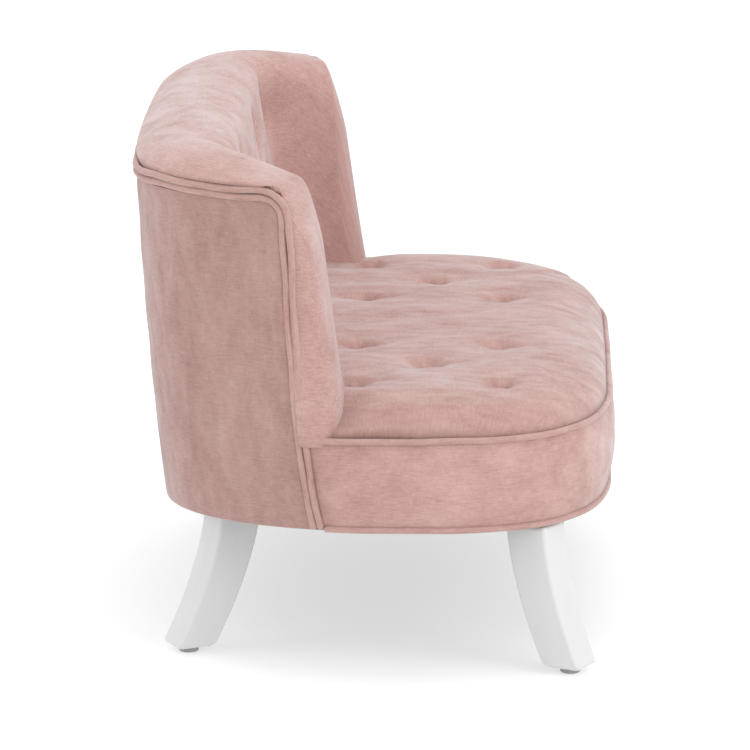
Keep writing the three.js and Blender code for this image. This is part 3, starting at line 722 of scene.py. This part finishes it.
# ---------------------------------------------------------------------------
# Seat band: the strip of velvet round the seat's side, filled with wadding,
# between the top and the bottom seam cords.
# ---------------------------------------------------------------------------
band_high = mm_box("seat_band")[1]
BAND_BULGE = band_high[0] - HALF_WIDTH - 1.2
band_s = front_table(4 * CORD_RADIUS - 0.6)


def band_at(b, z, inset):
    end = np.interp(z, levels, band_s)
    lean = lean_at(z) * smooth_step(np.abs(b), 0.75, 1)
    x, y = plan_at(1 - b * (1 - end), inset, lean)
    return np.stack([x, y, z + 0 * x], axis=-1)


b = np.linspace(-1, 1, 420)[:, None]
z = np.linspace(BASE_Z + 2.5, SEAM_Z - 1, 34)[None, :]
t = (z - z.min()) / (z.max() - z.min())
swell = BAND_BULGE * np.sin(math.pi * t) ** 0.8 + 0.8 * ripple(b * 500, z, 3) * np.sin(math.pi * t)
swell = swell * smooth_step(1 - np.abs(b), 0, 0.03)
band = lay_cloth("seat_band_cloth", band_at(b, z, 0.8 - swell), flip=True)
apply_modifier(band, "SOLIDIFY", thickness=COVER * MM, offset=-1)
# The lighter tone here is painted light on the seat band, brighter than the outside cover that faces the
# same way
band_velvet = velvet("velvet_band", painted_light_tone=1.04, streak=(1.0, 1.0), seed=12.0)
band.data.materials.append(band_velvet)
settle(band, "velvet", "seat_band")


# ---------------------------------------------------------------------------
# Seat seam cords: single fabric-covered cords in the seams above and below
# the band, from one arm's welt round the front to the other's.
# ---------------------------------------------------------------------------
for name, z, seed in [("seat_piping_top", SEAM_Z, 31), ("seat_piping_bottom", BASE_Z + 2, 33)]:
    route = band_at(np.linspace(-1, 1, 300), np.full(300, z), np.full(300, -0.3))
    piping = covered_cord(name + "_cord", route, CORD_RADIUS, cord_velvet, wander=0.4, seed=seed)
    settle(piping, "velvet", name)


# ---------------------------------------------------------------------------
# Legs: sabre legs of white satin lacquered wood, square in section with eased
# edges, each with a round grey glide under its foot.
# ---------------------------------------------------------------------------
lacquer, nodes, links = new_material("white_lacquer")
shader = nodes["Principled BSDF"]
place = nodes.new("ShaderNodeTexCoord")
mapping = nodes.new("ShaderNodeMapping")
mapping.inputs["Scale"].default_value = (60, 60, 9)
grain = nodes.new("ShaderNodeTexNoise")
grain.inputs["Scale"].default_value = 1.0
grain.inputs["Detail"].default_value = 4
links.new(place.outputs["Object"], mapping.inputs["Vector"])
links.new(mapping.outputs["Vector"], grain.inputs["Vector"])
ramp = nodes.new("ShaderNodeValToRGB")
ramp.color_ramp.elements[0].color = (0.58, 0.58, 0.58, 1)
ramp.color_ramp.elements[1].color = (0.64, 0.64, 0.64, 1)
links.new(grain.outputs["Fac"], ramp.inputs["Fac"])
links.new(ramp.outputs["Color"], shader.inputs["Base Color"])
bump = nodes.new("ShaderNodeBump")
bump.inputs["Strength"].default_value = 0.12
bump.inputs["Distance"].default_value = 0.0004
links.new(grain.outputs["Fac"], bump.inputs["Height"])
links.new(bump.outputs["Normal"], shader.inputs["Normal"])
shader.inputs["Roughness"].default_value = 0.38
shader.inputs["Coat Weight"].default_value = 0.15
shader.inputs["Coat Roughness"].default_value = 0.25
LEG_TOP_SIDE, LEG_FOOT_SIDE = 38.5, 36.0
LEG_CURVE = 1.6          # power of the sabre curve: 1 is straight
LEG_TURN = math.radians(28)          # each leg kicks out this far round towards its corner
EDGE = 3.6               # radius of the eased edges
FOOT_EDGE = 4.5
FRONT_X, FRONT_Y_LEG, FRONT_KICK = 281.6, -142.0, 35.0
REAR_X, REAR_Y_LEG, REAR_KICK = 220.6, 123.0, 43.5
LEG_PLACES = [
    ("front_left", FRONT_X, FRONT_Y_LEG, LEG_TURN, FRONT_KICK),
    ("front_right", -FRONT_X, FRONT_Y_LEG, -LEG_TURN, FRONT_KICK),
    ("rear_left", REAR_X, REAR_Y_LEG, math.pi - LEG_TURN, REAR_KICK),
    ("rear_right", -REAR_X, REAR_Y_LEG, math.pi + LEG_TURN, REAR_KICK)]
leg_low, leg_high = mm_box("leg_front_left")
glide_high = mm_box("glide_front_left")[1]


# One leg as rings of a rounded square, closed over its foot and its top
def leg_points(x, y, turn, kick_reach):
    low, high = leg_low[2], leg_high[2]
    up = np.linspace(low + FOOT_EDGE, high, 34)
    ease = np.linspace(0, math.pi / 2, 7)[:-1]
    z = np.concatenate([[low, low, low], low + FOOT_EDGE * (1 - np.cos(ease)), up, [high, high]])
    shrink = np.concatenate([[1e3, 12, 6], FOOT_EDGE * (1 - np.sin(ease)), np.zeros(len(up)), [8, 1e3]])
    drop = 1 - (z - low) / (high - low)
    half_side = (LEG_TOP_SIDE + (LEG_FOOT_SIDE - LEG_TOP_SIDE) * drop) / 2
    angle = np.linspace(0, math.pi / 2, 7)
    corner = np.stack([np.cos(angle), np.sin(angle)], axis=1)
    rows = []
    for level, inward, half_width in zip(z, shrink, half_side):
        wide = max(half_width - inward, 0)
        round_off = min(EDGE, wide)
        quarter = corner * round_off + (wide - round_off)
        turns = [np.array([[c, q], [-q, c]]) for c, q in ((1, 0), (0, 1), (-1, 0), (0, -1))]
        square = np.concatenate([quarter @ quarter_turn for quarter_turn in turns])
        square = np.concatenate([square, square[:1]])
        kick = kick_reach * max(1 - (level - low) / (high - low), 0) ** LEG_CURVE
        px, py = square[:, 0], square[:, 1] - kick
        rows.append(np.stack([
            x + px * math.cos(turn) - py * math.sin(turn),
            y + px * math.sin(turn) + py * math.cos(turn), np.full(len(px), level)], axis=1))
    return np.array(rows)


for where, x, y, turn, kick_reach in LEG_PLACES:
    leg = lay_cloth("sabre_leg_" + where, leg_points(x, y, turn, kick_reach), loop_v=True)
    leg.data.materials.append(lacquer)
    settle(leg, "white_lacquer", "leg_" + where)


# ---------------------------------------------------------------------------
# Glides: round grey nylon buttons nailed under the feet, their lower edge
# rounded, each with a shallow dish where its nail is driven.
# ---------------------------------------------------------------------------
def plain_material(name, dark, light, scale, roughness, metallic=0.0):
    material, nodes, links = new_material(name)
    shader = nodes["Principled BSDF"]
    place = nodes.new("ShaderNodeTexCoord")
    mapping = nodes.new("ShaderNodeMapping")
    mapping.inputs["Scale"].default_value = scale
    noise = nodes.new("ShaderNodeTexNoise")
    noise.inputs["Scale"].default_value = 1.0
    noise.inputs["Detail"].default_value = 5
    links.new(place.outputs["Object"], mapping.inputs["Vector"])
    links.new(mapping.outputs["Vector"], noise.inputs["Vector"])
    ramp = nodes.new("ShaderNodeValToRGB")
    ramp.color_ramp.elements[0].position = 0.35
    ramp.color_ramp.elements[0].color = (*dark, 1)
    ramp.color_ramp.elements[1].position = 0.65
    ramp.color_ramp.elements[1].color = (*light, 1)
    links.new(noise.outputs["Fac"], ramp.inputs["Fac"])
    links.new(ramp.outputs["Color"], shader.inputs["Base Color"])
    shader.inputs["Roughness"].default_value = roughness
    shader.inputs["Metallic"].default_value = metallic
    return material


nylon = plain_material("grey_nylon", (0.24, 0.245, 0.25), (0.30, 0.305, 0.31), (300, 300, 300), 0.45)
GLIDE_RADIUS = 8.8
GLIDE_ROUND = 1.6
round_off = np.linspace(0, math.pi / 2, 8)
glide_r = np.concatenate([[0, 1.6, 2.6, 5], GLIDE_RADIUS - GLIDE_ROUND * (1 - np.sin(round_off)),
                          [GLIDE_RADIUS, GLIDE_RADIUS - 0.4, GLIDE_RADIUS - 1, 0]])
glide_z = np.concatenate([[0.7, 0.7, 0.05, 0], GLIDE_ROUND * (1 - np.cos(round_off)),
                          [glide_high[2] - 0.5, glide_high[2] - 0.1, glide_high[2], glide_high[2]]])
for where, x, y, turn, kick_reach in LEG_PLACES:
    around = np.linspace(0, 2 * math.pi, 49)[None, :]
    foot_x, foot_y = x + kick_reach * math.sin(turn), y - kick_reach * math.cos(turn)
    button = np.stack([
        foot_x + glide_r[:, None] * np.cos(around), foot_y + glide_r[:, None] * np.sin(around),
        glide_z[:, None] + 0 * around], axis=-1)
    glide = lay_cloth("foot_glide_" + where, button, loop_v=True)
    glide.data.materials.append(nylon)
    settle(glide, "glide_plastic", "glide_" + where)


# ---------------------------------------------------------------------------
# Hidden frame: sawn softwood rails and blocks, bent plywood boards and deck,
# zinc plated plates and bolts, and the black lining under the base.
# ---------------------------------------------------------------------------
softwood = plain_material("sawn_softwood", (0.52, 0.36, 0.20), (0.68, 0.50, 0.31), (14, 160, 160), 0.75)
plywood = plain_material("bent_plywood", (0.44, 0.30, 0.17), (0.60, 0.43, 0.26), (20, 20, 220), 0.7)
zinc = plain_material("zinc_plate", (0.50, 0.51, 0.53), (0.64, 0.66, 0.68), (220, 220, 220), 0.38, 0.9)
lining = plain_material("black_lining", (0.012, 0.012, 0.014), (0.035, 0.035, 0.038), (900, 900, 900), 0.95)
for name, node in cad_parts.items():
    paint = None
    if name.startswith(("base_rail", "leg_block")):
        paint = softwood
    elif name.endswith("_board") or name == "seat_deck":
        paint = plywood
    elif name.startswith(("leg_plate", "leg_bolt")):
        paint = zinc
    elif name == "dust_cover":
        paint = lining
    if paint:
        node.data.materials.clear()
        node.data.materials.append(paint)
